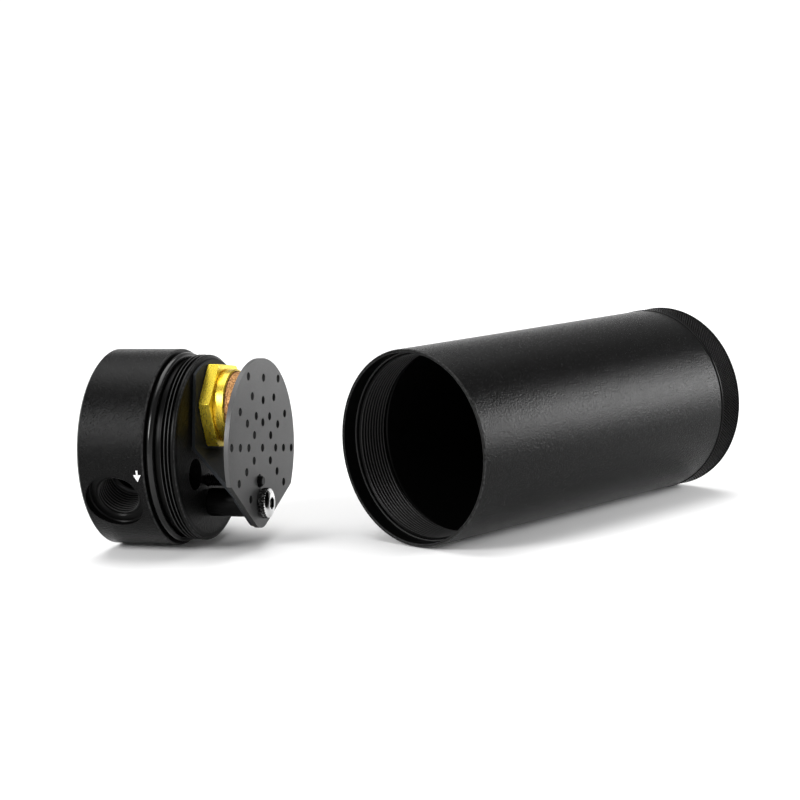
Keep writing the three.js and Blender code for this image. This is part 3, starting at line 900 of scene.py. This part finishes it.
screw_shape = turned([
    (SCREW_END, 0), (SCREW_END, SHANK - 0.4), (SCREW_END + 0.4, SHANK), (SCREW_BACK, SHANK),
    (SCREW_BACK, 4.9), (SCREW_BACK + 0.3, SCREW_HEAD), (SCREW_RIM - 0.1, SCREW_HEAD), (SCREW_RIM + 0.1, 5.6),
    (SCREW_RIM + 0.45, 5.1), (SCREW_RIM + 0.8, 4.2), (SCREW_RIM + DOME, 3.2), (SCREW_RIM + DOME, 0),
], SCREW_TEETH * 2)
tooth_angle = math.pi / SCREW_TEETH
valleys = [
    corner for corner in screw_shape.verts
    if math.hypot(corner.co.y, corner.co.z) > SCREW_HEAD - 0.01
    and round(math.atan2(corner.co.y, corner.co.z) / tooth_angle) % 2
]
bmesh.ops.scale(screw_shape, vec=(1, VALLEY_SHARE, VALLEY_SHARE), verts=valleys)
socket_tool = turned([
    (SCREW_RIM + DOME - SOCKET_DEPTH, 0), (SCREW_RIM + DOME - SOCKET_DEPTH + 0.3, SOCKET),
    (SCREW_RIM + 3, SOCKET), (SCREW_RIM + 3, 0),
], 6)
screw_shape = worked(screw_shape, [socket_tool])
bmesh.ops.translate(screw_shape, verts=screw_shape.verts, vec=(0, 0, -POST_DROP))


def screw_steel():
    finish, start = new_finish("screw_steel")
    place = own_place(start, tuple(head_place @ Vector((0, 0, -POST_DROP))), head_rotation)
    along, out = along_and_out(place)
    swirl = start.node("ShaderNodeCombineXYZ", {}, {0: along * 2.0, 1: out * 9.0, 2: 0.0})
    lines = grain(swirl, 1.0, detail=3.0)
    nick = grain(place, 1.6, detail=4.0, rough=0.7)
    bright = ((along > SCREW_RIM - 0.02) * (out > SOCKET - 0.35)).kept()
    black = ((nick - 0.5) * 5.0).kept().mix(grey(0.012), grey(0.4))
    steel = (lines * 0.6 + nick * 0.4).kept().mix(grey(0.62), grey(0.86))
    surface(start, {
        "Base Color": bright.mix(black, steel),
        "Metallic": (0.85 + bright).kept(),
        "Roughness": (0.26 - bright * 0.16 + (lines - 0.5) * 0.06 + (nick - 0.5) * 0.1).kept(),
        "Normal": start.node("ShaderNodeBump", {}, {
            "Strength": 0.15, "Distance": 0.00003, "Height": lines,
        }),
    })
    return finish


finished(
    "socket_screw", screw_shape, head_place, screw_steel(), "head", "baffle_screw",
    smooth_below=28,
)

# The filter's brass body: a hexagon milled from bar, bright and lightly tarnished, with a threaded stub that
# screws into the head and a round collar that holds the bronze element.

HEX_FLATS = 31.4
HEX_BACK = 41.0
HEX_FRONT = 45.6
HEX_CHAMFER = 0.6
COLLAR_FRONT = 49.6
COLLAR_RADIUS = 14.1
STUB_RADIUS = 9.6
STUB_BACK = 27.0
STUB_BORE = 6.5
ELEMENT_SEAT = 13.5

corner_radius = HEX_FLATS / 2 / math.cos(math.radians(30))
hexagon = turned([
    (HEX_BACK, 0), (HEX_BACK, corner_radius), (HEX_FRONT, corner_radius), (HEX_FRONT, 0),
], 6)
bmesh.ops.rotate(hexagon, verts=hexagon.verts, matrix=Matrix.Rotation(math.pi / 2, 3, "X"))
chamfer_cone = turned([
    (HEX_BACK - 0.01, 0), (HEX_BACK - 0.01, corner_radius - HEX_CHAMFER),
    (HEX_BACK + 0.5, corner_radius + 0.1), (HEX_FRONT - 0.3, corner_radius + 0.1),
    (HEX_FRONT + 0.01, corner_radius - HEX_CHAMFER), (HEX_FRONT + 0.01, 0),
], 96)
hexagon = worked(hexagon, [chamfer_cone], "INTERSECT")
broken_edges(hexagon, 0.16, sharper_than=18)
turned_brass = turned([
    (STUB_BACK, 0), (STUB_BACK, STUB_RADIUS - 0.6), (STUB_BACK + 0.6, STUB_RADIUS),
    (HEX_BACK + 1, STUB_RADIUS), (HEX_BACK + 1, COLLAR_RADIUS - 0.5), (HEX_FRONT + 0.3, COLLAR_RADIUS - 0.5),
    (HEX_FRONT + 0.5, COLLAR_RADIUS), (COLLAR_FRONT - 0.4, COLLAR_RADIUS),
    (COLLAR_FRONT, COLLAR_RADIUS - 0.4), (COLLAR_FRONT, 0),
], 96)
brass_shape = worked(hexagon, [turned_brass], "UNION")
brass_bore = turned([
    (STUB_BACK - 1, 0), (STUB_BACK - 1, STUB_BORE), (HEX_FRONT, STUB_BORE), (HEX_FRONT, ELEMENT_SEAT),
    (COLLAR_FRONT + 1, ELEMENT_SEAT), (COLLAR_FRONT + 1, 0),
], 96)
brass_shape = worked(brass_shape, [brass_bore])
bmesh.ops.translate(brass_shape, verts=brass_shape.verts, vec=(0, 0, FILTER_HEIGHT))


def bright_brass():
    finish, start = new_finish("bright_brass")
    place = own_place(start, tuple(head_place @ Vector((0, 0, FILTER_HEIGHT))), head_rotation)
    along, out = along_and_out(place)
    milled = start.node("ShaderNodeMapping", {}, {"Vector": place, "Scale": (5.0, 0.5, 0.5)})
    lines = grain(milled, 1.0, detail=3.0)
    cloud = grain(place, 0.16, detail=4.0, rough=0.6)
    tarnish = ((cloud - 0.42) * 1.2).kept()
    # Painted shade: the collar and the inner edge of the hexagon's front face beside it are painted a darker
    # brown.
    corner = ((along > HEX_FRONT - 0.2) * (out < COLLAR_RADIUS + 0.5)).kept()
    gold = tarnish.mix((0.96, 0.74, 0.07, 1), (0.84, 0.58, 0.04, 1))
    surface(start, {
        "Base Color": (corner * 0.35).mix(gold, (0.45, 0.25, 0.05, 1)),
        "Metallic": 0.85,
        "Roughness": (0.27 + tarnish * 0.06 + (lines - 0.5) * 0.08).kept(),
        "Normal": start.node("ShaderNodeBump", {}, {
            "Strength": 0.12, "Distance": 0.00003, "Height": lines,
        }),
    })
    return finish


finished(
    "brass_fitting", brass_shape, head_place, bright_brass(), "head", "filter_body", smooth_below=25,
)

# The element: a cup of bronze grains, sintered together so that air passes between them. Each grain is about
# half a millimetre across.

ELEMENT_RADIUS = 13.2
ELEMENT_BACK = 45.9
ELEMENT_FRONT = 56.2
ELEMENT_WALL = 3.0
GRAIN = 0.55
GRAIN_HEIGHT = 0.16
ROW_SPACING = 0.28
ELEMENT_EDGE = 1.2

side_rows = round((ELEMENT_FRONT - ELEMENT_EDGE - ELEMENT_BACK) / ROW_SPACING)
face_rows = round((ELEMENT_RADIUS - ELEMENT_EDGE) / ROW_SPACING)
element_outline = [
    (ELEMENT_FRONT - ELEMENT_WALL, 0),
    (ELEMENT_FRONT - ELEMENT_WALL, ELEMENT_RADIUS - ELEMENT_WALL),
    (ELEMENT_BACK, ELEMENT_RADIUS - ELEMENT_WALL),
]
element_outline += [
    (ELEMENT_BACK + (ELEMENT_FRONT - ELEMENT_EDGE - ELEMENT_BACK) * row / side_rows, ELEMENT_RADIUS)
    for row in range(side_rows + 1)
]
element_outline += [
    (
        ELEMENT_FRONT - ELEMENT_EDGE + ELEMENT_EDGE * math.sin(turn),
        ELEMENT_RADIUS - ELEMENT_EDGE + ELEMENT_EDGE * math.cos(turn),
    )
    for turn in (math.radians(degrees) for degrees in (18, 36, 54, 72))
]
element_outline += [
    (ELEMENT_FRONT, (ELEMENT_RADIUS - ELEMENT_EDGE) * (1 - row / face_rows)) for row in range(face_rows + 1)
]
element_shape = turned(element_outline, 256)
element_shape.normal_update()
outer = [
    corner for corner in element_shape.verts
    if math.hypot(corner.co.y, corner.co.z) > ELEMENT_RADIUS - 0.1 or corner.co.x > ELEMENT_FRONT - 1.3
]
for corner in outer:
    nearest = noise.voronoi(corner.co / GRAIN)[0][0]
    corner.co -= corner.normal * min(1.0, nearest) ** 2 * GRAIN_HEIGHT
bmesh.ops.translate(element_shape, verts=element_shape.verts, vec=(0, 0, FILTER_HEIGHT))


def sintered_bronze():
    finish, start = new_finish("sintered_bronze")
    place = own_place(start, tuple(head_place @ Vector((0, 0, FILTER_HEIGHT))), head_rotation)
    cells = start.node("ShaderNodeTexVoronoi", {}, {"Vector": place, "Scale": 1 / GRAIN})
    tint = grain(place, 1.4, detail=3.0)
    pits = (cells * 1.25).kept()
    bronze = tint.mix((0.62, 0.34, 0.13, 1), (0.36, 0.17, 0.06, 1))
    # Painted shade: the gaps between the grains are painted nearly black; the same share makes them rougher
    # and lower.
    surface(start, {
        "Base Color": (pits * pits * 0.85).mix(bronze, (0.07, 0.03, 0.012, 1)),
        "Metallic": 0.75,
        "Roughness": (0.42 + pits * 0.3 + (tint - 0.5) * 0.15).kept(),
        "Normal": start.node("ShaderNodeBump", {}, {
            "Strength": 0.6, "Distance": 0.00012, "Height": 1 - pits * pits,
        }),
    })
    return finish


finished(
    "bronze_element", element_shape, head_place, sintered_bronze(), "head", "filter_element",
    smooth_below=70,
)

# The can's tube: drawn aluminium, turned at the mouth with a recess for the seal and an internal thread.
# Its outside is bead-blasted and anodised black, and its bore is smooth and dark.

CAN_STEPS = 240
TUBE_RADIUS = 37.85
TUBE_BORE = 35.6
TUBE_LENGTH = 145.2
RECESS_RADIUS = 36.5
RECESS_DEPTH = 6.2
MOUTH_CREST = 35.2
MOUTH_ROOT = 36.05
MOUTH_RIDGE_FOOT = 36.1
MOUTH_THREAD = 7.4
MOUTH_TURNS = 10
THREAD_INNER_END = 23.0

tube_low, tube_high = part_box("can_tube")
can_mouth = Vector((tube_low.x, (tube_low.y + tube_high.y) / 2, (tube_low.z + tube_high.z) / 2))
can_place = Matrix.Translation(can_mouth) @ Matrix.Scale(MM, 4)

tube_shape = turned([
    (0.0, RECESS_RADIUS + 0.3),
    (0.0, TUBE_RADIUS - 0.4),
    (0.4, TUBE_RADIUS),
    (TUBE_LENGTH - 0.2, TUBE_RADIUS),
    (TUBE_LENGTH, TUBE_RADIUS - 0.2),
    (TUBE_LENGTH, TUBE_BORE),
    (MOUTH_THREAD + MOUTH_TURNS * PITCH + 0.9, TUBE_BORE),
    (MOUTH_THREAD + MOUTH_TURNS * PITCH + 0.4, MOUTH_ROOT),
    (RECESS_DEPTH + 0.4, MOUTH_ROOT),
    (RECESS_DEPTH, MOUTH_ROOT),
    (RECESS_DEPTH, RECESS_RADIUS),
    (0.3, RECESS_RADIUS),
    (0.0, RECESS_RADIUS + 0.3),
], CAN_STEPS)
broken_edges(tube_shape, 0.1)
mouth_ridge = [(-0.6, MOUTH_RIDGE_FOOT), (-0.12, MOUTH_CREST), (0.12, MOUTH_CREST), (0.6, MOUTH_RIDGE_FOOT)]
tube_shape = worked(
    tube_shape, [thread(mouth_ridge, MOUTH_THREAD, PITCH, MOUTH_TURNS - 0.3, fade=-0.8)], "UNION"
)


def mouth_crest_highlights(along, out):
    """Painted highlight: the tops of the mouth's thread and the recess's shoulder, painted lighter."""
    thread_part = (out < MOUTH_CREST + 0.18) * (along < THREAD_INNER_END) * (along > RECESS_DEPTH)
    shoulder = (out < MOUTH_ROOT + 0.4) * (along > RECESS_DEPTH - 0.1) * (along < RECESS_DEPTH + 0.4)
    return thread_part + shoulder


can_black = black_anodised(
    "can_black", tuple(can_mouth), (0.0, 0.0, 0.0), lambda along, out: out < RECESS_RADIUS + 0.6,
    [(0.2, TUBE_RADIUS - 0.2), (0.0, RECESS_RADIUS + 0.2)],
    crest_highlights=mouth_crest_highlights,
)
finished("can", tube_shape, can_place, can_black, "can", "can_tube")

# The base: a thick plug of black aluminium that screws into the tube, with a diamond knurl rolled round its
# grip, a rounded far edge, and a grooved spigot for its own seal.

SHOULDER = 145.5
BASE_RADIUS = 38.08
CAN_LENGTH = 158.4
KNURL_COUNT = 200
KNURL_ROWS = 6
KNURL_START = 146.3
KNURL_END = 156.7
KNURL_DEPTH = 0.6
BASE_SPIGOT = 35.2
BASE_SPIGOT_START = 133.4
BASE_THREAD_ROOT = 34.5
BASE_GROOVE = 33.0
BASE_RIDGE_FOOT = 34.3
BASE_TURNS = 4.6
BASE_BORE = 32.2
POCKET_FLOOR = 151.0
POCKET_FLOOR_RADIUS = 31

knurl_turn = 2 * math.pi / KNURL_COUNT
knurl_half = (KNURL_END - KNURL_START) / KNURL_ROWS / 2
knurl_root = BASE_RADIUS - KNURL_DEPTH


def knurl_corner(shape, x, turns, radius):
    angle = turns * knurl_turn
    return shape.verts.new((x, -radius * math.sin(angle), radius * math.cos(angle)))


def knurl_band():
    """Rows of low pyramids that meet at their edges. One tooth of each row is drawn, then copied round X."""
    shape = bmesh.new()
    for row in range(2 * KNURL_ROWS + 1):
        middle = KNURL_START + row * knurl_half
        shift = 0.5 * (row % 2)
        left = knurl_corner(shape, middle, shift - 0.5, knurl_root)
        right = knurl_corner(shape, middle, shift + 0.5, knurl_root)
        near = knurl_corner(shape, middle - knurl_half, shift, knurl_root) if row > 0 else None
        far = knurl_corner(shape, middle + knurl_half, shift, knurl_root) if row < 2 * KNURL_ROWS else None
        top_x = middle if near and far else middle + (0.34 if far else -0.34) * knurl_half
        top = knurl_corner(shape, top_x, shift, BASE_RADIUS)
        rim = [corner for corner in (left, near, right, far) if corner]
        tooth = [shape.faces.new((a, b, top)) for a, b in zip(rim, rim[1:] + rim[:1])]
        bmesh.ops.spin(
            shape, geom=tooth, cent=(0, 0, 0), axis=(1, 0, 0), dvec=(0, 0, 0),
            angle=2 * math.pi * (KNURL_COUNT - 1) / KNURL_COUNT, steps=KNURL_COUNT - 1, use_merge=False,
            use_normal_flip=False, use_duplicate=True,
        )
    return shape


base_plain = bmesh.new()
base_outlines = [
    [
        (POCKET_FLOOR, 0), (POCKET_FLOOR, POCKET_FLOOR_RADIUS), (BASE_SPIGOT_START, BASE_BORE),
        (BASE_SPIGOT_START, BASE_THREAD_ROOT - 0.3), (BASE_SPIGOT_START + 0.4, BASE_THREAD_ROOT),
        (SHOULDER - 3.6, BASE_THREAD_ROOT),
        (SHOULDER - 3.4, BASE_SPIGOT), (SHOULDER - 3.2, BASE_SPIGOT), (SHOULDER - 3.2, BASE_GROOVE),
        (SHOULDER - 0.8, BASE_GROOVE), (SHOULDER - 0.8, BASE_SPIGOT), (SHOULDER, BASE_SPIGOT),
        (SHOULDER, BASE_RADIUS - 0.35), (SHOULDER + 0.12, BASE_RADIUS - 0.12),
        (SHOULDER + 0.35, BASE_RADIUS), (SHOULDER + 0.6, BASE_RADIUS), (KNURL_START, knurl_root),
    ],
    [
        (KNURL_END, knurl_root), (KNURL_END + 0.08, BASE_RADIUS - 0.06), (CAN_LENGTH - 1.6, BASE_RADIUS),
        (CAN_LENGTH - 1.0, BASE_RADIUS - 0.14), (CAN_LENGTH - 0.5, BASE_RADIUS - 0.5),
        (CAN_LENGTH - 0.14, BASE_RADIUS - 1.0), (CAN_LENGTH, BASE_RADIUS - 1.6), (CAN_LENGTH, 30),
        (CAN_LENGTH, 0),
    ],
]
for outline in base_outlines:
    rail = [
        base_plain.verts.new((x, radius * math.sin(knurl_turn / 2), radius * math.cos(knurl_turn / 2)))
        for x, radius in outline
    ]
    wires = [base_plain.edges.new(pair) for pair in zip(rail, rail[1:])]
    swept(base_plain, rail + wires, 2 * math.pi, KNURL_COUNT, merge=True)
base_shape = gathered([base_plain, knurl_band()])
bmesh.ops.remove_doubles(base_shape, verts=base_shape.verts, dist=2e-3)
bmesh.ops.recalc_face_normals(base_shape, faces=base_shape.faces)
base_ridge = [(-0.6, BASE_RIDGE_FOOT), (-0.1, BASE_SPIGOT), (0.1, BASE_SPIGOT), (0.6, BASE_RIDGE_FOOT)]
base_shape = worked(
    base_shape, [thread(base_ridge, BASE_SPIGOT_START + 1.0, PITCH, BASE_TURNS, fade=0.85)], "UNION"
)
base_black = black_anodised(
    "base_black", tuple(can_mouth), (0.0, 0.0, 0.0),
    lambda along, out: (along < SHOULDER + 0.1) + (out > BASE_RADIUS - 1.5) * (along < CAN_LENGTH - 1.5),
    [(CAN_LENGTH - 0.5, BASE_RADIUS - 0.5)],
    # Painted highlight: the knurl's teeth are painted lighter towards their tips.
    crest_highlights=lambda along, out: (out - knurl_root - 0.25) / 0.3 * (along > KNURL_START) * (along < KNURL_END),
)
finished(
    "knurled_base", base_shape, can_place, base_black, "base", "base_cap",
    smooth_below=26,
)

# The base's own seal: a thinner rubber ring than the head's. It lies in the groove behind the base's
# shoulder, against the tube's bore.

BASE_SEAL_RADIUS = 34.3
BASE_SEAL_SECTION = 0.95
BASE_SEAL_AXIAL = SHOULDER - 2

base_seal_shape = seal_ring(BASE_SEAL_RADIUS, BASE_SEAL_SECTION, BASE_SEAL_AXIAL)
finished(
    "base_seal_ring", base_seal_shape, can_place, rubber, "base_seal", "base_oring",
)
